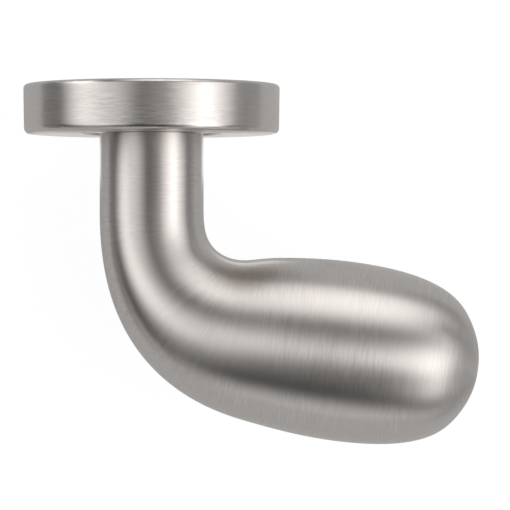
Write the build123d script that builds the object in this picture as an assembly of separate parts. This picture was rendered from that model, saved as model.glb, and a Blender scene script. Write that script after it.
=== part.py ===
from build123d import *
import math
import os

# Cranked door knob on a round rose, all in satin stainless steel.
#
# The door's face is the plane Y = 0 and the knob stands out from it along -Y. The rose's axis
# is the Y axis, +X is the side that the grip points to and +Z is up. Millimetres throughout.
# "Depth" is a distance out from the door's face, so a depth of 10 is the plane Y = -10.

# Rose cover: the pressed cap that is seen
ROSE_DIAMETER = 55.0
ROSE_DEPTH = 10.6
COVER_WALL = 1.5
COVER_DRAFT = 0.13
COVER_FRONT_EDGE = 1.1
COVER_BACK_EDGE = 0.9
COVER_INNER_EDGE = 0.5

# Guide ring: the flush disc round the neck, in the cover's hole
RING_DIAMETER = 30.0
RING_SETBACK = 0.1
RING_SPIGOT_DIAMETER = 24.5
RING_SPIGOT_LENGTH = 1.5
RING_SEAM = 0.16
RING_EDGE = 0.12

# Knob: neck, bend and grip in one piece. Its centre line runs straight out along the neck's
# axis, bends, and runs on along the grip's axis. BEND_REACH is how far from the crossing of
# the two axes the bend starts on one and ends on the other.
NECK_DIAMETER = 22.3
NECK_STRAIGHT = 15.0
NECK_SOCKET = 2.4
NECK_CHAMFER = 0.5
BEND_REACH = 26.0
GRIP_TILT = 7.85
GRIP_DIAMETER = 38.6
GRIP_SHOULDER = 15.5
GRIP_NOSE = 29.2
SECTION_SPACING = 2.0

# How the handle swells from the neck to the widest section: control points of one smooth
# curve, each a share of the way along the centre line and a share of the growth in radius.
SWELL = [(0.0, 0.0), (0.252, 0.0), (0.252, 0.062), (0.637, 1.0), (1.0, 1.0)]

# How the nose closes from the widest section to the tip, in the same way: each control point
# is a share of the nose's length and a share of the grip's radius.
NOSE = [(0.0, 1.0), (1.0, 1.0), (0.777, 0.464), (1.0, 0.564), (1.0, 0.0)]

# Sub-rose: the die-cast carrier under the cover
BASE_RIM_WALL = 2.2
BASE_WEB = 2.2
BASE_REAR_RELIEF = 0.5
HUB_WALL = 3.4
RIB_THICKNESS = 1.6
RIB_COUNT = 8
BOSS_DIAMETER = 10.8
BASE_FRONT_CHAMFER = 0.8

# Fixing to the door: two female sleeves for through bolts
SLEEVE_DIAMETER = 7.2
SLEEVE_BORE = 4.2
SLEEVE_FLANGE_DIAMETER = 9.2
SLEEVE_FLANGE_THICKNESS = 1.2

# Clamp screw, countersunk with a hexagon socket, from the back into the neck
SCREW_DIAMETER = 6.0
SCREW_LENGTH = 16.0
SCREW_HEAD_DIAMETER = 12.0
SCREW_HEAD_LAND = 0.3
SCREW_SINK = 0.2
SOCKET_ACROSS_FLATS = 4.0
SOCKET_DEPTH = 2.3
TAPPED_SPARE_DEPTH = 2.0
DRILL_POINT_ANGLE = 118.0

# Dowel pins that stop the knob turning
PIN_DIAMETER = 3.0
PIN_LENGTH = 7.0
PIN_OFFSET = 8.4
PIN_SINK = 0.4
PIN_CHAMFER = 0.3

# Snap ring: the open ring of flat wire that holds the cover on the sub-rose
SNAP_RING_WIDTH = 1.3
SNAP_RING_THICKNESS = 1.0
SNAP_RING_DEPTH = 3.4
SNAP_RING_GAP_ANGLE = 30.0
COVER_GROOVE_DEPTH = 0.45

# Fits, each a radial or axial clearance
COVER_FIT = 0.25
SEAT_FIT = 0.05
NECK_FIT = 0.14
SNAP_RING_FIT = 0.06

# Worked-out radii
ROSE_RADIUS = ROSE_DIAMETER / 2
COVER_BORE_RADIUS = ROSE_RADIUS - COVER_WALL
COVER_HOLE_RADIUS = RING_DIAMETER / 2 + RING_SEAM
NECK_RADIUS = NECK_DIAMETER / 2
GRIP_RADIUS = GRIP_DIAMETER / 2
RING_BORE_RADIUS = NECK_RADIUS + NECK_FIT
BASE_RADIUS = COVER_BORE_RADIUS - COVER_FIT
HUB_BORE_RADIUS = NECK_RADIUS + SEAT_FIT
HUB_RADIUS = HUB_BORE_RADIUS + HUB_WALL
SCREW_RADIUS = SCREW_DIAMETER / 2
GROOVE_OUTER_RADIUS = COVER_BORE_RADIUS + COVER_GROOVE_DEPTH
GROOVE_INNER_RADIUS = GROOVE_OUTER_RADIUS - SNAP_RING_WIDTH - 2 * SNAP_RING_FIT

# The sleeves sit midway between the guide ring's spigot and the sub-rose's rim, which puts
# them 38 mm apart, the usual pitch under a rose of this size.
FIXING_PITCH = RING_SPIGOT_DIAMETER / 2 + BASE_RADIUS

# Worked-out depths
COVER_INNER_DEPTH = ROSE_DEPTH - COVER_WALL
RING_FRONT_DEPTH = ROSE_DEPTH - RING_SETBACK
RING_SEAT_DEPTH = COVER_INNER_DEPTH - RING_SPIGOT_LENGTH
NECK_SEAT_DEPTH = RING_SEAT_DEPTH - NECK_SOCKET
HEAD_CONE = (SCREW_HEAD_DIAMETER - SCREW_DIAMETER) / 2
SCREW_BACK_DEPTH = BASE_REAR_RELIEF + SCREW_SINK
SCREW_TIP_DEPTH = SCREW_BACK_DEPTH + SCREW_LENGTH
PIN_BACK_DEPTH = BASE_REAR_RELIEF + PIN_SINK
GROOVE_BACK_DEPTH = SNAP_RING_DEPTH - SNAP_RING_THICKNESS / 2 - SNAP_RING_FIT
GROOVE_FRONT_DEPTH = SNAP_RING_DEPTH + SNAP_RING_THICKNESS / 2 + SNAP_RING_FIT

# Centre line of the handle: distances along it are measured from the start of the bend
BEND_START_DEPTH = ROSE_DEPTH + NECK_STRAIGHT
CROSSING = Vector(0, -BEND_START_DEPTH - BEND_REACH, 0)
GRIP_AXIS = Vector(math.cos(math.radians(GRIP_TILT)), -math.sin(math.radians(GRIP_TILT)), 0)
BACK_ALONG_NECK = Vector(0, 1, 0)
BEND = Bezier(
    *[CROSSING + BACK_ALONG_NECK * (BEND_REACH * thirds / 3) for thirds in (3, 2, 1)],
    *[CROSSING + GRIP_AXIS * (BEND_REACH * thirds / 3) for thirds in (1, 2, 3)],
)
WIDEST_AT = BEND.length + GRIP_SHOULDER


def turned(outline, sweep_angle=360.0):
    """Solid turned about the Y axis from an outline of (radius, depth) points."""
    corners = [(radius, -depth) for radius, depth in outline]
    return revolve(make_face(Polyline(*corners, close=True)), Axis.Y, sweep_angle)


def drum(radius, back_depth, front_depth, x=0.0, z=0.0):
    """Round bar along Y between two depths, about the line at (x, z)."""
    foot = Plane(origin=(x, -back_depth, z), x_dir=(1, 0, 0), z_dir=(0, -1, 0))
    return extrude(foot * Circle(radius), front_depth - back_depth)


def rims_at(part, depth, radius):
    """Circular edges of a turned part at one depth and radius."""
    return [
        edge
        for edge in part.edges().filter_by(GeomType.CIRCLE)
        if abs(edge.radius - radius) < 1e-4 and abs(edge.arc_center.Y + depth) < 1e-4
    ]


def centre_line_plane(distance):
    """Plane square to the handle's centre line, distance along it from the start of the bend."""
    if distance <= 0:
        place = CROSSING + BACK_ALONG_NECK * (BEND_REACH - distance)
        heading = -BACK_ALONG_NECK
    elif distance >= BEND.length:
        place = BEND @ 1 + GRIP_AXIS * (distance - BEND.length)
        heading = GRIP_AXIS
    else:
        place = BEND @ (distance / BEND.length)
        heading = BEND % (distance / BEND.length)
    return Plane(origin=place, x_dir=(0, 0, 1), z_dir=heading)


def swell_curve():
    """Radius of the handle over distance along its centre line, bend start to widest section."""
    growth = GRIP_RADIUS - NECK_RADIUS
    return Bezier(*[(WIDEST_AT * way, NECK_RADIUS + growth * share) for way, share in SWELL])


def grip_nose():
    """The grip's closed end, turned about the grip's own straight axis."""
    rounding = Bezier(*[(GRIP_NOSE * way, GRIP_RADIUS * share) for way, share in NOSE])
    half = make_face(rounding + Polyline((GRIP_NOSE, 0), (0, 0), (0, GRIP_RADIUS)))
    nose = revolve(half, Axis.X)
    widest = centre_line_plane(WIDEST_AT)
    along_grip = Plane(origin=widest.origin, x_dir=widest.z_dir, z_dir=(0, 0, 1))
    return along_grip * nose


def swept_handle():
    """Straight neck, bend and grip up to its widest section, lofted through round sections."""
    neck_count = math.ceil(NECK_STRAIGHT / SECTION_SPACING)
    stations = [(-NECK_STRAIGHT * (1 - i / neck_count), NECK_RADIUS) for i in range(neck_count)]
    swell = swell_curve()
    swell_count = math.ceil(WIDEST_AT / SECTION_SPACING)
    stations += [tuple(swell @ (i / swell_count))[:2] for i in range(swell_count + 1)]
    return loft([centre_line_plane(distance) * Circle(radius) for distance, radius in stations])


def screw_hole():
    """Countersunk hole for the clamp screw from the back, on into the neck with its drill point."""
    head = SCREW_HEAD_DIAMETER / 2 + SEAT_FIT
    shank = SCREW_RADIUS + SEAT_FIT
    cone_top = SCREW_BACK_DEPTH + SCREW_HEAD_LAND
    bottom = SCREW_TIP_DEPTH + TAPPED_SPARE_DEPTH
    point = shank / math.tan(math.radians(DRILL_POINT_ANGLE / 2))
    outline = [(0, 0), (head, 0), (head, cone_top), (shank, cone_top + HEAD_CONE)]
    outline += [(shank, bottom), (0, bottom + point)]
    return turned(outline)


def pin_places():
    """X of each dowel pin."""
    return [-PIN_OFFSET, PIN_OFFSET]


def pin_holes():
    """The dowel pins' holes, through the sub-rose's hub and into the neck."""
    radius = PIN_DIAMETER / 2 + SEAT_FIT
    depth = PIN_BACK_DEPTH + PIN_LENGTH + SEAT_FIT
    return [drum(radius, 0, depth, x) for x in pin_places()]


def make_knob():
    seated_end = drum(NECK_RADIUS, NECK_SEAT_DEPTH, ROSE_DEPTH)
    seated_end = chamfer(rims_at(seated_end, NECK_SEAT_DEPTH, NECK_RADIUS), NECK_CHAMFER)
    handle = seated_end + swept_handle() + grip_nose()
    return handle - screw_hole() - pin_holes()


def make_rose_cover():
    front_radius = ROSE_RADIUS - COVER_DRAFT
    cap = turned([(0, 0), (ROSE_RADIUS, 0), (front_radius, ROSE_DEPTH), (0, ROSE_DEPTH)])
    cap = fillet(rims_at(cap, ROSE_DEPTH, front_radius), COVER_FRONT_EDGE)
    cap = fillet(rims_at(cap, 0, ROSE_RADIUS), COVER_BACK_EDGE)
    inside = drum(COVER_BORE_RADIUS, 0, COVER_INNER_DEPTH)
    inside = chamfer(rims_at(inside, COVER_INNER_DEPTH, COVER_BORE_RADIUS), COVER_INNER_EDGE)
    hole = drum(COVER_HOLE_RADIUS, 0, ROSE_DEPTH)
    groove = drum(GROOVE_OUTER_RADIUS, GROOVE_BACK_DEPTH, GROOVE_FRONT_DEPTH)
    return cap - inside - hole - groove


def make_guide_ring():
    disc = drum(RING_DIAMETER / 2, COVER_INNER_DEPTH, RING_FRONT_DEPTH)
    disc = chamfer(rims_at(disc, RING_FRONT_DEPTH, RING_DIAMETER / 2), RING_EDGE)
    spigot = drum(RING_SPIGOT_DIAMETER / 2, RING_SEAT_DEPTH, COVER_INNER_DEPTH)
    ring = disc + spigot - drum(RING_BORE_RADIUS, RING_SEAT_DEPTH, RING_FRONT_DEPTH)
    return chamfer(rims_at(ring, RING_FRONT_DEPTH, RING_BORE_RADIUS), RING_EDGE)


def fixing_places():
    """Z of each fixing sleeve."""
    return [-FIXING_PITCH / 2, FIXING_PITCH / 2]


def make_fixing_sleeve(z):
    front = COVER_INNER_DEPTH
    flange_back = front - SLEEVE_FLANGE_THICKNESS
    sleeve = drum(SLEEVE_DIAMETER / 2, 0, front, z=z)
    sleeve += drum(SLEEVE_FLANGE_DIAMETER / 2, flange_back, front, z=z)
    return sleeve - drum(SLEEVE_BORE / 2, 0, front, z=z)


def sleeve_pocket(z):
    """Stepped hole in the sub-rose that a fixing sleeve is pressed into."""
    flange_back = COVER_INNER_DEPTH - SLEEVE_FLANGE_THICKNESS
    pocket = drum(SLEEVE_DIAMETER / 2 + SEAT_FIT, 0, COVER_INNER_DEPTH, z=z)
    return pocket + drum(SLEEVE_FLANGE_DIAMETER / 2 + SEAT_FIT, flange_back, COVER_INNER_DEPTH, z=z)


def rib(angle):
    """One radial rib from the hub to the rim, standing on the web."""
    start = HUB_BORE_RADIUS
    length = BASE_RADIUS - BASE_RIM_WALL / 2 - start
    depth = COVER_INNER_DEPTH - BASE_REAR_RELIEF - BASE_WEB / 2
    middle_depth = BASE_REAR_RELIEF + depth / 2
    bar = Pos(start + length / 2, -middle_depth, 0) * Box(length, depth, RIB_THICKNESS)
    return Rot(0, angle, 0) * bar


def make_sub_rose():
    front = COVER_INNER_DEPTH
    web_back = front - BASE_WEB
    floor_back = RING_SEAT_DEPTH - BASE_WEB
    rim_bore = BASE_RADIUS - BASE_RIM_WALL
    blank = drum(BASE_RADIUS, 0, front)
    blank = chamfer(rims_at(blank, front, BASE_RADIUS), BASE_FRONT_CHAMFER)
    step_radius = RING_SPIGOT_DIAMETER / 2 + BASE_WEB
    well = drum(rim_bore, 0, web_back) - drum(step_radius, floor_back, web_back)
    base = blank - well
    base += drum(HUB_RADIUS, BASE_REAR_RELIEF, RING_SEAT_DEPTH)
    base += [rib(360 / RIB_COUNT * index) for index in range(RIB_COUNT)]
    base += [drum(BOSS_DIAMETER / 2, 0, web_back, z=z) for z in fixing_places()]
    base -= drum(RING_SPIGOT_DIAMETER / 2 + SEAT_FIT, RING_SEAT_DEPTH, front)
    base -= drum(HUB_BORE_RADIUS, NECK_SEAT_DEPTH, front)
    base -= [sleeve_pocket(z) for z in fixing_places()]
    base -= pin_holes()
    base -= screw_hole()
    groove = drum(ROSE_RADIUS, GROOVE_BACK_DEPTH, GROOVE_FRONT_DEPTH) - drum(GROOVE_INNER_RADIUS, 0, front)
    return base - groove


def make_clamp_screw():
    head = SCREW_HEAD_DIAMETER / 2
    back = SCREW_BACK_DEPTH
    cone_top = back + SCREW_HEAD_LAND
    tip_chamfer = SCREW_RADIUS / 4
    outline = [(0, back), (head, back), (head, cone_top), (SCREW_RADIUS, cone_top + HEAD_CONE)]
    outline += [(SCREW_RADIUS, SCREW_TIP_DEPTH - tip_chamfer)]
    outline += [(SCREW_RADIUS - tip_chamfer, SCREW_TIP_DEPTH), (0, SCREW_TIP_DEPTH)]
    mouth = Plane(origin=(0, -back, 0), x_dir=(1, 0, 0), z_dir=(0, -1, 0))
    hexagon = RegularPolygon(SOCKET_ACROSS_FLATS / 2, 6, major_radius=False)
    return turned(outline) - extrude(mouth * hexagon, SOCKET_DEPTH)


def make_dowel_pin(x):
    front = PIN_BACK_DEPTH + PIN_LENGTH
    pin = drum(PIN_DIAMETER / 2, PIN_BACK_DEPTH, front, x)
    return chamfer(pin.edges().filter_by(GeomType.CIRCLE), PIN_CHAMFER)


def make_snap_ring():
    """Open ring of flat wire, its gap at the bottom of the rose."""
    inner = GROOVE_INNER_RADIUS + SNAP_RING_FIT
    back = GROOVE_BACK_DEPTH + SNAP_RING_FIT
    front = back + SNAP_RING_THICKNESS
    outline = [(inner, back), (inner + SNAP_RING_WIDTH, back)]
    outline += [(inner + SNAP_RING_WIDTH, front), (inner, front)]
    return Rot(0, 90 + SNAP_RING_GAP_ANGLE / 2, 0) * turned(outline, 360 - SNAP_RING_GAP_ANGLE)


os.makedirs("parts", exist_ok=True)
lower_sleeve_z, upper_sleeve_z = fixing_places()
left_pin_x, right_pin_x = pin_places()
pieces = {
    "knob": make_knob(),
    "rose_cover": make_rose_cover(),
    "guide_ring": make_guide_ring(),
    "sub_rose": make_sub_rose(),
    "clamp_screw": make_clamp_screw(),
    "upper_fixing_sleeve": make_fixing_sleeve(upper_sleeve_z),
    "lower_fixing_sleeve": make_fixing_sleeve(lower_sleeve_z),
    "left_dowel_pin": make_dowel_pin(left_pin_x),
    "right_dowel_pin": make_dowel_pin(right_pin_x),
    "snap_ring": make_snap_ring(),
}
for node, piece in pieces.items():
    export_step(piece, f"parts/{node}.step")
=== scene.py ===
import bpy
import math
import numpy as np
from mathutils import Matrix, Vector


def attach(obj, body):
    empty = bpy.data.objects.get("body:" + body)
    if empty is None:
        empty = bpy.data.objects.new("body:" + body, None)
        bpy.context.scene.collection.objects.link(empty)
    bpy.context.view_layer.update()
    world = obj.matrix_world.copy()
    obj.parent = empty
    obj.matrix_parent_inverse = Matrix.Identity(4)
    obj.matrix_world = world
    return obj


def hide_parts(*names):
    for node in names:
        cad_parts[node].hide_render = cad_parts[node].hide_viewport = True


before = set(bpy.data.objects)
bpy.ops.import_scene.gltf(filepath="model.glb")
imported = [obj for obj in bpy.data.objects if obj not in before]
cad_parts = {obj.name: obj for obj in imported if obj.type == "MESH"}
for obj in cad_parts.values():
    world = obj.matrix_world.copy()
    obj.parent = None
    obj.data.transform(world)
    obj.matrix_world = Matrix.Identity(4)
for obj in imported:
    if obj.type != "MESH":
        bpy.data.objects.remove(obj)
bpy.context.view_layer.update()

MM = 0.001

# Shapes, in millimetres as in the part's source: a depth is a distance out from the door

# Rose cover
ROSE_RADIUS = 27.5
ROSE_DEPTH = 10.6
COVER_DRAFT = 0.13
COVER_FRONT_EDGE = 1.2
COVER_BACK_EDGE = 0.9
COVER_BORE_RADIUS = 26.0
COVER_BORE_CORNER = 0.6
COVER_INNER_DEPTH = 9.1
COVER_HOLE_RADIUS = 15.16
COVER_HOLE_FRONT_EDGE = 0.04
COVER_HOLE_BACK_EDGE = 0.1
SNAP_GROOVE_RADIUS = 26.45
SNAP_GROOVE_BACK = 2.84
SNAP_GROOVE_FRONT = 3.96

# Guide ring
RING_RADIUS = 15.0
RING_BORE_RADIUS = 11.29
RING_SPIGOT_RADIUS = 12.25
RING_SEAT_DEPTH = 7.6
RING_FRONT_DEPTH = 10.15
RING_FRONT_EDGE = 0.05
RING_BACK_EDGE = 0.1

# Knob
NECK_RADIUS = 11.15
NECK_STRAIGHT = 15.0
NECK_SEAT_DEPTH = 5.2
NECK_CHAMFER = 0.5
NECK_SHOULDER_DEPTH = 10.55
NECK_EDGE = 0.05
JOINT_GROOVE_WIDTH = 0.5
JOINT_GROOVE_CUT = 1.3
BEND_REACH = 26.0
GRIP_TILT = math.radians(7.85)
GRIP_RADIUS = 19.3
GRIP_SHOULDER = 15.5
GRIP_NOSE = 29.2
SWELL = [(0.0, 0.0), (0.252, 0.0), (0.252, 0.062), (0.637, 1.0), (1.0, 1.0)]
NOSE = [(0.0, 1.0), (1.0, 1.0), (0.777, 0.464), (1.0, 0.564), (1.0, 0.0)]
SCREW_HOLE_RADIUS = 3.05
SCREW_HOLE_DEPTH = 18.7
SCREW_HOLE_POINT = 1.83
PIN_HOLE_RADIUS = 1.55
PIN_HOLE_DEPTH = 7.95
PIN_OFFSET = 8.4

# Fixing sleeves
SLEEVE_RADIUS = 3.6
SLEEVE_LENGTH = 9.1
SLEEVE_BACK_EDGE = 0.2
SLEEVE_BORE_RADIUS = 2.1
SLEEVE_MOUTH = 0.4
FLANGE_RADIUS = 4.6
FLANGE_BACK = 7.9
FLANGE_EDGE = 0.1
THREAD_START = 8.62
THREAD_PITCH = 0.8
THREAD_TURNS = 10
THREAD_CREST = 0.12
THREAD_FLANK = 0.3
THREAD_ROOT = 0.08
THREAD_ROOT_RADIUS = 2.46
SLEEVE_HEIGHTS = {"upper": 19.0, "lower": -19.0}

# Sub-rose
CASTING_EDGE = 0.15

# Where the axes of neck and grip cross, the way the grip points, and the bend's control points
CROSSING = np.array([0.0, -ROSE_DEPTH - NECK_STRAIGHT - BEND_REACH])
GRIP_AXIS = np.array([math.cos(GRIP_TILT), -math.sin(GRIP_TILT)])
BEND_POINTS = [CROSSING + np.array([0.0, BEND_REACH * thirds / 3]) for thirds in (3, 2, 1)]
BEND_POINTS += [CROSSING + GRIP_AXIS * (BEND_REACH * thirds / 3) for thirds in (1, 2, 3)]


# Curves
def smooth_curve(controls, count):
    """Points along the smooth curve of these control points."""
    order = len(controls) - 1
    t = np.linspace(0, 1, count)[:, None]
    return sum(
        math.comb(order, i) * t**i * (1 - t)**(order - i) * np.array(controls[i])
        for i in range(order + 1)
    )


bend_line = smooth_curve(BEND_POINTS, 2001)
bend_steps = np.linalg.norm(np.diff(bend_line, axis=0), axis=1)
bend_way = np.concatenate([[0.0], np.cumsum(bend_steps)])
WIDEST_AT = bend_way[-1] + GRIP_SHOULDER


def on_centre_line(distance):
    """Place and heading angle on the knob's centre line, this far along from the start of the bend."""
    if distance <= 0:
        return CROSSING + np.array([0.0, BEND_REACH - distance]), -math.pi / 2
    if distance >= bend_way[-1]:
        return bend_line[-1] + GRIP_AXIS * (distance - bend_way[-1]), -GRIP_TILT
    place = np.array([np.interp(distance, bend_way, bend_line[:, axis]) for axis in (0, 1)])
    i = min(int(np.searchsorted(bend_way, distance)), len(bend_line) - 2)
    heading = bend_line[i + 1] - bend_line[i - 1]
    return place, math.atan2(heading[1], heading[0])


def from_bend(depth):
    """Distance along the centre line of a place on the neck that is this deep."""
    return depth - ROSE_DEPTH - NECK_STRAIGHT


def knob_stations():
    """(distance along the centre line, radius) of the knob's rings, from its seated end to its tip."""
    seat = from_bend(NECK_SEAT_DEPTH)
    joint = from_bend(NECK_SHOULDER_DEPTH)
    groove_radius = NECK_RADIUS - JOINT_GROOVE_CUT
    stations = [(seat, NECK_RADIUS - NECK_CHAMFER), (seat + NECK_CHAMFER, NECK_RADIUS)]
    stations += [(joint - JOINT_GROOVE_WIDTH, NECK_RADIUS), (joint - JOINT_GROOVE_WIDTH, groove_radius)]
    stations += [(joint, groove_radius), (joint, NECK_RADIUS - NECK_EDGE), (joint + NECK_EDGE, NECK_RADIUS)]
    stations += [(distance, NECK_RADIUS) for distance in np.linspace(joint + 0.6, -1.0, 14)]
    growth = GRIP_RADIUS - NECK_RADIUS
    swell = smooth_curve([(WIDEST_AT * way, NECK_RADIUS + growth * share) for way, share in SWELL], 61)
    nose = smooth_curve([(GRIP_NOSE * way, GRIP_RADIUS * share) for way, share in NOSE], 64)[1:]
    stations += [tuple(point) for point in swell]
    stations += [(WIDEST_AT + way, radius) for way, radius in nose]
    return stations


# Outlines of the turned pieces, as (radius, depth)
def round_corner(centre_radius, centre_depth, size, start, end, count=7):
    """Points of a rounded corner: angles from straight outward (0) to straight forward (90)."""
    turns = [math.radians(start + (end - start) * i / count) for i in range(count + 1)]
    return [(centre_radius + size * math.cos(t), centre_depth + size * math.sin(t)) for t in turns]


def cover_outline():
    """The rose's cover, from its back edge over its front and in to the snap ring's groove."""
    front = ROSE_DEPTH - COVER_FRONT_EDGE
    back_corner = ROSE_RADIUS - COVER_BACK_EDGE
    front_corner = ROSE_RADIUS - COVER_DRAFT - COVER_FRONT_EDGE
    outline = [(COVER_BORE_RADIUS, 0.0), (back_corner, 0.0)]
    outline += round_corner(back_corner, COVER_BACK_EDGE, COVER_BACK_EDGE, -90, 0)[1:]
    for share in (0.1, 0.35, 0.65, 0.9):
        depth = COVER_BACK_EDGE + (front - COVER_BACK_EDGE) * share
        outline.append((ROSE_RADIUS - COVER_DRAFT * share, depth))
    outline += round_corner(front_corner, front, COVER_FRONT_EDGE, 1, 90)
    outline += [(radius, ROSE_DEPTH) for radius in (25.8, 24.0, 21.0, 18.0, 15.5)]
    outline.append((COVER_HOLE_RADIUS + COVER_HOLE_FRONT_EDGE, ROSE_DEPTH))
    outline.append((COVER_HOLE_RADIUS, ROSE_DEPTH - COVER_HOLE_FRONT_EDGE))
    outline.append((COVER_HOLE_RADIUS, COVER_INNER_DEPTH + COVER_HOLE_BACK_EDGE))
    outline.append((COVER_HOLE_RADIUS + COVER_HOLE_BACK_EDGE, COVER_INNER_DEPTH))
    outline += [(radius, COVER_INNER_DEPTH) for radius in (15.5, 20.0)]
    outline.append((COVER_BORE_RADIUS - COVER_BORE_CORNER, COVER_INNER_DEPTH))
    outline.append((COVER_BORE_RADIUS, COVER_INNER_DEPTH - COVER_BORE_CORNER))
    outline.append((COVER_BORE_RADIUS, 6.0))
    outline += [(COVER_BORE_RADIUS, SNAP_GROOVE_FRONT), (SNAP_GROOVE_RADIUS, SNAP_GROOVE_FRONT)]
    outline += [(SNAP_GROOVE_RADIUS, SNAP_GROOVE_BACK), (COVER_BORE_RADIUS, SNAP_GROOVE_BACK)]
    outline.append((COVER_BORE_RADIUS, 1.5))
    return outline


def ring_outline():
    """The guide ring: a flush disc with a spigot behind it."""
    outline = [(RING_BORE_RADIUS, RING_SEAT_DEPTH)]
    outline.append((RING_SPIGOT_RADIUS - RING_BACK_EDGE, RING_SEAT_DEPTH))
    outline.append((RING_SPIGOT_RADIUS, RING_SEAT_DEPTH + RING_BACK_EDGE))
    outline.append((RING_SPIGOT_RADIUS, COVER_INNER_DEPTH))
    outline.append((RING_RADIUS - RING_BACK_EDGE, COVER_INNER_DEPTH))
    outline.append((RING_RADIUS, COVER_INNER_DEPTH + RING_BACK_EDGE))
    outline.append((RING_RADIUS, RING_FRONT_DEPTH - RING_FRONT_EDGE))
    outline.append((RING_RADIUS - RING_FRONT_EDGE, RING_FRONT_DEPTH))
    outline += [(radius, RING_FRONT_DEPTH) for radius in (14.7, 13.0, 11.6)]
    outline.append((RING_BORE_RADIUS + RING_FRONT_EDGE, RING_FRONT_DEPTH))
    outline.append((RING_BORE_RADIUS, RING_FRONT_DEPTH - RING_FRONT_EDGE))
    return outline


def sleeve_outline():
    """A fixing sleeve: a flanged tube with the thread cut as rings in its bore."""
    mouth_radius = SLEEVE_BORE_RADIUS + SLEEVE_MOUTH
    outline = [(mouth_radius, 0.0), (SLEEVE_RADIUS - SLEEVE_BACK_EDGE, 0.0)]
    outline += [(SLEEVE_RADIUS, SLEEVE_BACK_EDGE), (SLEEVE_RADIUS, FLANGE_BACK)]
    outline += [(FLANGE_RADIUS - FLANGE_EDGE, FLANGE_BACK), (FLANGE_RADIUS, FLANGE_BACK + FLANGE_EDGE)]
    outline += [(FLANGE_RADIUS, SLEEVE_LENGTH - FLANGE_EDGE), (FLANGE_RADIUS - FLANGE_EDGE, SLEEVE_LENGTH)]
    outline += [(mouth_radius, SLEEVE_LENGTH), (SLEEVE_BORE_RADIUS, SLEEVE_LENGTH - SLEEVE_MOUTH)]
    for turn in range(THREAD_TURNS):
        crest = THREAD_START - THREAD_PITCH * turn
        flank = crest - THREAD_CREST
        root = flank - THREAD_FLANK
        outline += [(SLEEVE_BORE_RADIUS, flank), (THREAD_ROOT_RADIUS, root)]
        outline += [(THREAD_ROOT_RADIUS, root - THREAD_ROOT), (SLEEVE_BORE_RADIUS, crest - THREAD_PITCH)]
    outline.append((SLEEVE_BORE_RADIUS, SLEEVE_MOUTH))
    return outline


# Modelling
def start_ring(name, radius, depth, corners, z=0.0):
    """A new object holding one circle square to Y, left in edit mode with the circle selected."""
    bpy.ops.object.select_all(action="DESELECT")
    bpy.ops.mesh.primitive_circle_add(
        vertices=corners, radius=radius * MM, location=(0, -depth * MM, z * MM), rotation=(math.pi / 2, 0, 0)
    )
    bpy.ops.object.transform_apply(location=True, rotation=True, scale=True)
    piece = bpy.context.active_object
    piece.name = name
    piece.data.name = name
    bpy.ops.object.mode_set(mode="EDIT")
    bpy.ops.mesh.select_all(action="SELECT")
    return piece


def close_piece(merge_distance=0.0002):
    """Merges touching corners, turns the faces outward and leaves edit mode."""
    bpy.ops.mesh.select_all(action="SELECT")
    bpy.ops.mesh.remove_doubles(threshold=merge_distance * MM)
    bpy.ops.mesh.normals_make_consistent(inside=False)
    bpy.ops.object.mode_set(mode="OBJECT")


def make_active(piece):
    """Selects one piece alone and makes it the active one."""
    bpy.ops.object.select_all(action="DESELECT")
    piece.select_set(True)
    bpy.context.view_layer.objects.active = piece


def shade(piece, sharp_angle=30):
    """Shades a piece smooth, with an edge wherever its faces meet at more than this angle."""
    make_active(piece)
    bpy.ops.object.shade_smooth_by_angle(angle=math.radians(sharp_angle))


def lengths_along(outline):
    """Length of the outline up to each of its points."""
    alongs = [0.0]
    for before, after in zip(outline, outline[1:]):
        alongs.append(alongs[-1] + math.dist(before, after))
    return alongs


def uv_on_rings(piece, alongs, corners):
    """Lays the wrap map on a piece made of equal rings: U runs along it in decimetres, V around it."""
    mesh = piece.data
    layer = mesh.uv_layers.new(name="wrap")
    rings = len(alongs)
    for face in mesh.polygons:
        if len(face.vertices) > 4:
            continue
        numbers = [min(i // corners, rings - 1) for i in face.vertices]
        turns = [(i % corners) / corners for i in face.vertices]
        if max(turns) - min(turns) > 0.5:
            turns = [turn + 1 if turn < 0.5 else turn for turn in turns]
        if max(numbers) - min(numbers) > 1:
            numbers = [rings if number == 0 else number for number in numbers]
        for loop, number, turn in zip(face.loop_indices, numbers, turns):
            along = alongs[number] if number < rings else 2 * alongs[-1] - alongs[-2]
            layer.data[loop].uv = (along * 0.01, turn)


def cranked_piece(name, stations, corners):
    """A closed round piece drawn out ring by ring along the knob's centre line."""
    distance, radius = stations[0]
    place, angle = on_centre_line(distance)
    piece = start_ring(name, radius, -place[1], corners)
    for distance, next_radius in stations[1:]:
        next_place, next_angle = on_centre_line(distance)
        step = (next_place - place) * MM
        centre = (next_place[0] * MM, next_place[1] * MM, 0)
        bpy.ops.mesh.extrude_region_move(TRANSFORM_OT_translate={"value": (step[0], step[1], 0)})
        if abs(next_angle - angle) > 1e-9:
            bpy.ops.transform.rotate(
                value=angle - next_angle, orient_axis="Z", orient_type="GLOBAL", center_override=centre
            )
        if next_radius < 0.001:
            bpy.ops.mesh.merge(type="CENTER")
            break
        share = next_radius / radius
        bpy.ops.transform.resize(value=(share, share, share), center_override=centre)
        place, angle, radius = next_place, next_angle, next_radius
    bpy.ops.mesh.select_all(action="DESELECT")
    bpy.ops.mesh.select_non_manifold()
    bpy.ops.mesh.edge_face_add()
    close_piece()
    uv_on_rings(piece, lengths_along(stations), corners)
    return piece


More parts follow.
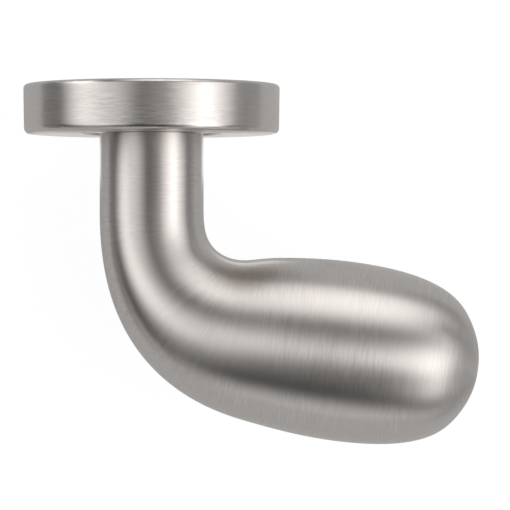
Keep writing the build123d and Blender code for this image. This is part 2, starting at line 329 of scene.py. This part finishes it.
def turned_piece(name, outline, corners, z=0.0):
    """A ring-shaped piece about a line along Y, drawn out ring by ring from its closed outline."""
    radius, depth = outline[0]
    piece = start_ring(name, radius, depth, corners, z)
    for next_radius, next_depth in outline[1:]:
        bpy.ops.mesh.extrude_region_move(
            TRANSFORM_OT_translate={"value": (0, (depth - next_depth) * MM, 0)}
        )
        share = next_radius / radius
        centre = (0, -next_depth * MM, z * MM)
        bpy.ops.transform.resize(value=(share, 1, share), center_override=centre)
        radius, depth = next_radius, next_depth
    bpy.ops.mesh.select_all(action="DESELECT")
    bpy.ops.object.mode_set(mode="OBJECT")
    count = len(piece.data.vertices)
    for vertex in piece.data.vertices:
        vertex.select = vertex.index < corners or vertex.index >= count - corners
    for edge in piece.data.edges:
        edge.select = all(i < corners or i >= count - corners for i in edge.vertices)
    bpy.ops.object.mode_set(mode="EDIT")
    bpy.ops.mesh.bridge_edge_loops()
    bpy.ops.mesh.select_all(action="SELECT")
    bpy.ops.mesh.normals_make_consistent(inside=False)
    bpy.ops.object.mode_set(mode="OBJECT")
    uv_on_rings(piece, lengths_along(outline), corners)
    return piece


def drill(piece, x, radius, bottom, point=0.0):
    """Cuts a blind round hole along Y into a piece, with a drill point of this height at its bottom."""
    cutter = start_ring("drill", radius, 0, 48)
    bpy.ops.mesh.edge_face_add()
    bpy.ops.mesh.extrude_region_move(TRANSFORM_OT_translate={"value": (0, -bottom * MM, 0)})
    if point:
        bpy.ops.mesh.extrude_region_move(TRANSFORM_OT_translate={"value": (0, -point * MM, 0)})
        bpy.ops.mesh.merge(type="CENTER")
    close_piece()
    cutter.location.x = x * MM
    make_active(piece)
    cut = piece.modifiers.new("drill", "BOOLEAN")
    cut.operation = "DIFFERENCE"
    cut.object = cutter
    bpy.ops.object.modifier_apply(modifier=cut.name)
    bpy.data.objects.remove(cutter)


def softened_casting(source, name, edge):
    """A copy of a cast piece with its edges rounded over."""
    piece = bpy.data.objects.new(name, source.data.copy())
    piece.data.name = name
    bpy.context.scene.collection.objects.link(piece)
    make_active(piece)
    bpy.ops.object.mode_set(mode="EDIT")
    bpy.ops.mesh.select_all(action="SELECT")
    bpy.ops.mesh.remove_doubles(threshold=0.002 * MM)
    bpy.ops.mesh.dissolve_limited(angle_limit=math.radians(1))
    bpy.ops.object.mode_set(mode="OBJECT")
    rounding = piece.modifiers.new("rounding", "BEVEL")
    rounding.width = edge * MM
    rounding.segments = 2
    rounding.limit_method = "ANGLE"
    rounding.angle_limit = math.radians(40)
    rounding.use_clamp_overlap = False
    bpy.ops.object.modifier_apply(modifier=rounding.name)
    return piece


# Materials
STEEL_COLOUR = (0.622, 0.587, 0.56)
SCRATCH_COLOUR = (0.95, 0.93, 0.91)

# Brush marks: so many per millimetre along the piece and around it, and how finely broken up
BROAD_MARKS = {"along": 1.6, "around": 0.10, "detail": 3.0}
FINE_MARKS = {"along": 5.6, "around": 0.30, "detail": 2.0}
BRUSHED_PATCHES = {"along": 0.12, "around": 0.08, "detail": 1.0}
SCRATCHES = {"along": 1.3, "around": 0.13}
BROAD_SHARE = 0.22
FINE_SHARE = 0.78
FAINT_PATCH, STRONG_PATCH = 0.35, 1.45
SCRATCH_SHARE = 0.16
QUIET_SHARE = 0.15

# How far the marks move the steel's roughness, and how much smoother a polished stretch is
ROUGHNESS_SPREAD = 0.025
POLISH = 0.07


def new_material(name):
    """A new material with its nodes, its links and its surface shader."""
    material = bpy.data.materials.new(name)
    material.use_nodes = True
    nodes = material.node_tree.nodes
    return material, nodes, material.node_tree.links, nodes["Principled BSDF"]


def node(nodes, kind, **settings):
    """A new node with these sockets or properties set."""
    made = nodes.new(kind)
    for name, value in settings.items():
        if name in made.inputs:
            made.inputs[name].default_value = value
        else:
            setattr(made, name, value)
    return made


def maths(nodes, links, operation, first, second=None):
    """Output of a Math node on numbers or other nodes' outputs."""
    made = nodes.new("ShaderNodeMath")
    made.operation = operation
    for place, value in enumerate((first, second)):
        if value is None:
            continue
        if isinstance(value, (int, float)):
            made.inputs[place].default_value = value
        else:
            links.new(value, made.inputs[place])
    return made.outputs[0]


def rescaled(nodes, links, value, before, after):
    """A value moved from one range to another and held at its ends."""
    made = nodes.new("ShaderNodeMapRange")
    for socket, number in zip(("From Min", "From Max", "To Min", "To Max"), (*before, *after)):
        made.inputs[socket].default_value = number
    links.new(value, made.inputs["Value"])
    return made.outputs["Result"]


def two_tones(nodes, links, value, places, colours):
    """A colour that runs from one tone to another between two values."""
    ramp = nodes.new("ShaderNodeValToRGB")
    for element, place, colour in zip(ramp.color_ramp.elements, places, colours):
        element.position = place
        element.color = (*colour, 1)
    links.new(value, ramp.inputs["Fac"])
    return ramp.outputs["Color"]


def brushed_steel(name, radius, contrast, roughness=0.335, anisotropy=0.85, polished=(), quiet_sides=False):
    """Satin stainless steel brushed round a section of this radius: highlights stretch along it.

    Each polished stretch is a pair of lengths along the piece, in millimetres. Quiet sides have
    fainter brush marks to the left and right than above and below.
    """
    material, nodes, links, shader = new_material(name)
    wrap = nodes.new("ShaderNodeUVMap")
    wrap.uv_map = "wrap"
    parts = nodes.new("ShaderNodeSeparateXYZ")
    links.new(wrap.outputs["UV"], parts.inputs[0])
    along_piece = maths(nodes, links, "MULTIPLY", parts.outputs["X"], 100.0)
    turn = maths(nodes, links, "MULTIPLY", parts.outputs["Y"], 2 * math.pi)
    cosine = maths(nodes, links, "COSINE", turn)
    sine = maths(nodes, links, "SINE", turn)
    place = nodes.new("ShaderNodeCombineXYZ")
    links.new(along_piece, place.inputs["X"])
    links.new(maths(nodes, links, "MULTIPLY", cosine, radius), place.inputs["Y"])
    links.new(maths(nodes, links, "MULTIPLY", sine, radius), place.inputs["Z"])

    def stretched(texture, along, around):
        """Feeds a texture with so many turns per millimetre along the piece and around it."""
        stretch = nodes.new("ShaderNodeMapping")
        stretch.inputs["Scale"].default_value = (along, around, around)
        links.new(place.outputs[0], stretch.inputs["Vector"])
        links.new(stretch.outputs[0], texture.inputs["Vector"])
        return texture

    def brush_marks(along, around, detail):
        """Grey noise drawn out round the piece."""
        noise = node(nodes, "ShaderNodeTexNoise", Scale=1.0, Detail=detail, Roughness=0.6)
        return stretched(noise, along, around).outputs["Fac"]

    broad = maths(nodes, links, "MULTIPLY", brush_marks(**BROAD_MARKS), BROAD_SHARE)
    fine = maths(nodes, links, "MULTIPLY", brush_marks(**FINE_MARKS), FINE_SHARE)
    centred = maths(nodes, links, "SUBTRACT", maths(nodes, links, "ADD", broad, fine), 0.5)
    patches = brush_marks(**BRUSHED_PATCHES)
    strength = rescaled(nodes, links, patches, (0.38, 0.62), (FAINT_PATCH, STRONG_PATCH))
    scratch_strength = 1.0
    if quiet_sides:
        upright = maths(nodes, links, "ABSOLUTE", cosine)
        scratch_strength = rescaled(nodes, links, upright, (0.45, 0.85), (QUIET_SHARE, 1.0))
        strength = maths(nodes, links, "MULTIPLY", strength, scratch_strength)
    marks = maths(nodes, links, "ADD", maths(nodes, links, "MULTIPLY", centred, strength), 0.5)
    darker = [tone * (1 - contrast) for tone in STEEL_COLOUR]
    lighter = [tone * (1 + contrast) for tone in STEEL_COLOUR]
    colour = two_tones(nodes, links, marks, (0.32, 0.68), (darker, lighter))
    scratch = stretched(node(nodes, "ShaderNodeTexVoronoi", Scale=1.0), **SCRATCHES)
    scratch_share = rescaled(nodes, links, scratch.outputs["Distance"], (0.07, 0.12), (SCRATCH_SHARE, 0.0))
    scratched = nodes.new("ShaderNodeMix")
    scratched.data_type = "RGBA"
    scratched.inputs[7].default_value = (*SCRATCH_COLOUR, 1)
    links.new(maths(nodes, links, "MULTIPLY", scratch_share, scratch_strength), scratched.inputs[0])
    links.new(colour, scratched.inputs[6])
    links.new(scratched.outputs[2], shader.inputs["Base Color"])
    spread = (roughness - ROUGHNESS_SPREAD, roughness + ROUGHNESS_SPREAD)
    gloss = rescaled(nodes, links, marks, (0.3, 0.7), spread)
    for start, end in polished:
        inside = nodes.new("ShaderNodeMath")
        inside.operation = "COMPARE"
        links.new(along_piece, inside.inputs[0])
        inside.inputs[1].default_value = (start + end) / 2
        inside.inputs[2].default_value = (end - start) / 2
        smoother = maths(nodes, links, "MULTIPLY", inside.outputs[0], POLISH)
        gloss = maths(nodes, links, "SUBTRACT", gloss, smoother)
    links.new(gloss, shader.inputs["Roughness"])
    bump = node(nodes, "ShaderNodeBump", Strength=0.1, Distance=0.00001)
    links.new(marks, bump.inputs["Height"])
    links.new(bump.outputs["Normal"], shader.inputs["Normal"])
    tangent = node(nodes, "ShaderNodeTangent", direction_type="UV_MAP", uv_map="wrap")
    links.new(tangent.outputs["Tangent"], shader.inputs["Tangent"])
    shader.inputs["Metallic"].default_value = 1.0
    shader.inputs["Anisotropic"].default_value = anisotropy
    return material


def plain_metal(name, colour, roughness, grain, bump_strength=0.4):
    """A hidden piece's metal, with a fine grain in colour, gloss and surface."""
    material, nodes, links, shader = new_material(name)
    place = nodes.new("ShaderNodeTexCoord")
    noise = node(nodes, "ShaderNodeTexNoise", Scale=grain, Detail=6.0, Roughness=0.65)
    links.new(place.outputs["Object"], noise.inputs["Vector"])
    mottle = noise.outputs["Fac"]
    darker = [tone * 0.78 for tone in colour]
    links.new(two_tones(nodes, links, mottle, (0.3, 0.7), (darker, colour)), shader.inputs["Base Color"])
    gloss = rescaled(nodes, links, mottle, (0.0, 1.0), (roughness - 0.1, roughness + 0.12))
    links.new(gloss, shader.inputs["Roughness"])
    bump = node(nodes, "ShaderNodeBump", Strength=bump_strength, Distance=0.00005)
    links.new(mottle, bump.inputs["Height"])
    links.new(bump.outputs["Normal"], shader.inputs["Normal"])
    shader.inputs["Metallic"].default_value = 1.0
    return material


def give(piece, material):
    """Dresses a new piece and fixes it to the knob's body."""
    piece.data.materials.clear()
    piece.data.materials.append(material)
    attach(piece, "root")


# The pieces that are seen
knob_steel = brushed_steel("satin_stainless_steel_on_the_knob", radius=15.0, contrast=0.105)
rim_steel = brushed_steel(
    "satin_stainless_steel_on_the_rim",
    radius=ROSE_RADIUS,
    contrast=0.21,
    polished=[(0.6, 2.0), (10.4, 12.5)],
    quiet_sides=True,
)
face_steel = brushed_steel(
    "satin_stainless_steel_on_the_face", radius=20.0, contrast=0.16, roughness=0.42, anisotropy=0.6
)

knob = cranked_piece("cranked_knob", knob_stations(), corners=128)
drill(knob, 0.0, SCREW_HOLE_RADIUS, SCREW_HOLE_DEPTH, SCREW_HOLE_POINT)
drill(knob, -PIN_OFFSET, PIN_HOLE_RADIUS, PIN_HOLE_DEPTH)
drill(knob, PIN_OFFSET, PIN_HOLE_RADIUS, PIN_HOLE_DEPTH)
shade(knob)
give(knob, knob_steel)
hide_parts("knob")

cover = turned_piece("round_rose_cover", cover_outline(), corners=192)
shade(cover)
give(cover, rim_steel)
cover.data.materials.append(face_steel)
for face in cover.data.polygons:
    face.material_index = 1 if abs(face.normal.y + 1) < 0.001 else 0
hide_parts("rose_cover")

ring = turned_piece("flush_guide_ring", ring_outline(), corners=192)
shade(ring)
give(ring, face_steel)
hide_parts("guide_ring")

# The pieces behind
cast_zinc = plain_metal("cast_zinc", (0.46, 0.47, 0.49), roughness=0.5, grain=900.0)
dark_steel = plain_metal("blackened_steel", (0.10, 0.10, 0.105), roughness=0.38, grain=1500.0)
bright_steel = plain_metal("ground_steel", (0.60, 0.61, 0.62), roughness=0.25, grain=2500.0)
brass = plain_metal("turned_brass", (0.78, 0.60, 0.30), roughness=0.28, grain=700.0, bump_strength=0.08)

casting = softened_casting(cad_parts["sub_rose"], "cast_sub_rose", CASTING_EDGE)
shade(casting, sharp_angle=20)
give(casting, cast_zinc)
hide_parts("sub_rose")

for name, height in SLEEVE_HEIGHTS.items():
    sleeve = turned_piece(f"{name}_threaded_sleeve", sleeve_outline(), corners=64, z=height)
    shade(sleeve)
    give(sleeve, brass)
    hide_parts(f"{name}_fixing_sleeve")

for name, material, slot in [
    ("clamp_screw", dark_steel, "dark_steel"),
    ("snap_ring", dark_steel, "dark_steel"),
    ("left_dowel_pin", bright_steel, "bright_steel"),
    ("right_dowel_pin", bright_steel, "bright_steel"),
]:
    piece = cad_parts[name]
    piece.data.materials.clear()
    piece.data.materials.append(material)

# Studio, in metres
FLOOR_HEIGHT = -0.0276
FLOOR_GREY = 0.56
FLOOR_GLOW = 1.23
GLOW_SEEN = 0.75
GLOW_MIRRORED = 0.15

# Each soft light: lean from straight up, compass direction from +X towards +Y, half width, half
# height and turn, all in degrees, and brightness
SOFT_LIGHTS = {
    "left, low": (71, 155, 28, 18, 34, 2.25),
    "left, middle": (52, 198, 25, 22, -33, 0.66),
    "left, high": (31, 181, 19, 22, 21, 0.94),
    "back left": (35, 153, 21, 15, -28, 0.28),
    "overhead": (9, 338, 15, 11, -47, 0.64),
    "right, high": (39, 356, 20, 20, -82, 1.98),
    "right, low": (66, 11, 23, 19, 22, 1.50),
    "right front": (61, 326, 24, 16, 26, 2.11),
    "door side": (67, 79, 32, 26, 32, 2.01),
    "front, low": (87, 265, 39, 21, -7, 0.74),
}


def light_axes(lean, compass, turn):
    """Direction of a light and the two directions across it."""
    lean, compass, turn = (math.radians(angle) for angle in (lean, compass, turn))
    middle = Vector((math.sin(lean) * math.cos(compass), math.sin(lean) * math.sin(compass), math.cos(lean)))
    level = Vector((-math.sin(compass), math.cos(compass), 0))
    upright = middle.cross(level)
    across = math.cos(turn) * level + math.sin(turn) * upright
    up = math.cos(turn) * upright - math.sin(turn) * level
    return middle, across, up


def soft_light(nodes, links, sky, lean, compass, half_width, half_height, turn, brightness):
    """Brightness of one soft light in the sky direction, fading smoothly to its edge."""
    facing = []
    for axis in light_axes(lean, compass, turn):
        dot = node(nodes, "ShaderNodeVectorMath", operation="DOT_PRODUCT")
        links.new(sky, dot.inputs[0])
        dot.inputs[1].default_value = axis
        facing.append(dot.outputs["Value"])
    spread = []
    for side, half in zip(facing[1:], (half_width, half_height)):
        angle = maths(nodes, links, "ARCTAN2", side, facing[0])
        share = maths(nodes, links, "DIVIDE", angle, math.radians(half))
        spread.append(maths(nodes, links, "MULTIPLY", share, share))
    distance = maths(nodes, links, "POWER", maths(nodes, links, "ADD", *spread), 1.5)
    fade = maths(nodes, links, "EXPONENT", maths(nodes, links, "MULTIPLY", distance, -1.0))
    return maths(nodes, links, "MULTIPLY", fade, brightness)


def white_floor_paint():
    """Pale paint that looks white to the camera and keeps shadows. From below it is see-through."""
    material, nodes, links, shader = new_material("white_floor")
    shader.inputs["Base Color"].default_value = (FLOOR_GREY, FLOOR_GREY, FLOOR_GREY, 1)
    shader.inputs["Roughness"].default_value = 0.8
    ray = nodes.new("ShaderNodeLightPath").outputs
    seen = maths(nodes, links, "MULTIPLY", ray["Is Camera Ray"], GLOW_SEEN)
    mirrored = maths(nodes, links, "ADD", ray["Is Glossy Ray"], ray["Is Transmission Ray"])
    mirrored = maths(nodes, links, "MULTIPLY", mirrored, GLOW_MIRRORED)
    glow = node(nodes, "ShaderNodeEmission", Color=(1, 1, 1, 1), Strength=FLOOR_GLOW)
    from_above = nodes.new("ShaderNodeMixShader")
    links.new(maths(nodes, links, "ADD", seen, mirrored), from_above.inputs["Fac"])
    links.new(shader.outputs[0], from_above.inputs[1])
    links.new(glow.outputs[0], from_above.inputs[2])
    underside = nodes.new("ShaderNodeNewGeometry").outputs["Backfacing"]
    clear = nodes.new("ShaderNodeBsdfTransparent")
    either_side = nodes.new("ShaderNodeMixShader")
    links.new(maths(nodes, links, "MULTIPLY", ray["Is Camera Ray"], underside), either_side.inputs["Fac"])
    links.new(from_above.outputs[0], either_side.inputs[1])
    links.new(clear.outputs[0], either_side.inputs[2])
    links.new(either_side.outputs[0], nodes["Material Output"].inputs["Surface"])
    return material


def flat_sheet(name, middle, size, lean=0.0):
    """A flat stage piece, turned about Y by its lean."""
    bpy.ops.object.select_all(action="DESELECT")
    bpy.ops.mesh.primitive_plane_add(size=1, location=middle, rotation=(0, lean, 0))
    sheet = bpy.context.active_object
    sheet.name = name
    sheet.scale = (*size, 1)
    return sheet


def card(name, grey, middle, size, lean=0.0, glow=0.0):
    """A matt card, grey or glowing, for the steel to mirror. It shows only in reflections."""
    sheet = flat_sheet(name, middle, size, lean)
    material, _, _, shader = new_material(name)
    shader.inputs["Base Color"].default_value = (grey, grey, grey, 1)
    shader.inputs["Roughness"].default_value = 1.0
    shader.inputs["Specular IOR Level"].default_value = 0.0
    shader.inputs["Emission Color"].default_value = (1, 1, 1, 1)
    shader.inputs["Emission Strength"].default_value = glow
    sheet.data.materials.append(material)
    for ray in ("camera", "diffuse", "transmission", "shadow"):
        setattr(sheet, f"visible_{ray}", False)


floor = flat_sheet("white_floor", (0, 0, FLOOR_HEIGHT), (12, 12))
floor.data.materials.append(white_floor_paint())

# Grey cards on both sides of the knob, and a bright strip for the rose's face to mirror
UPRIGHT = math.pi / 2
card("left_card", grey=0.31, middle=(-0.259, -0.03, -0.0272), size=(0.282, 0.30))
card("left_card_edge", grey=0.22, middle=(-0.40, -0.03, -0.005), size=(0.05, 0.30), lean=UPRIGHT)
card("right_card", grey=0.50, middle=(0.2525, -0.03, -0.0272), size=(0.295, 0.30))
card("right_card_edge", grey=0.36, middle=(0.40, -0.03, -0.015), size=(0.03, 0.30), lean=UPRIGHT)
card("strip_under_the_rose", grey=0.0, middle=(0, -0.0155, -0.0271), size=(0.056, 0.009), glow=1.2)

# Sky: the soft lights, and plain white to the camera
world = bpy.data.worlds.new("studio")
bpy.context.scene.world = world
world.use_nodes = True
nodes, links = world.node_tree.nodes, world.node_tree.links
sky = nodes.new("ShaderNodeTexCoord").outputs["Generated"]
light_sum = 0.0
for settings in SOFT_LIGHTS.values():
    light_sum = maths(nodes, links, "ADD", soft_light(nodes, links, sky, *settings), light_sum)
lights = nodes["Background"]
lights.inputs["Color"].default_value = (1, 1, 1, 1)
links.new(light_sum, lights.inputs["Strength"])
white = node(nodes, "ShaderNodeBackground", Color=(1, 1, 1, 1), Strength=1.0)
mix = nodes.new("ShaderNodeMixShader")
links.new(nodes.new("ShaderNodeLightPath").outputs["Is Camera Ray"], mix.inputs["Fac"])
links.new(lights.outputs[0], mix.inputs[1])
links.new(white.outputs[0], mix.inputs[2])
links.new(mix.outputs[0], nodes["World Output"].inputs["Surface"])

# Camera, at the photo's angle: straight down on the knob from far above
lens = bpy.data.cameras.new("camera")
lens.lens = 236.6
lens.sensor_width = 36.0
lens.clip_end = 20.0
camera = bpy.data.objects.new("camera", lens)
bpy.context.scene.collection.objects.link(camera)
camera.location = (22.2 * MM, -36.6 * MM, 720 * MM)
bpy.context.scene.camera = camera

bpy.context.scene.view_settings.view_transform = "Standard"
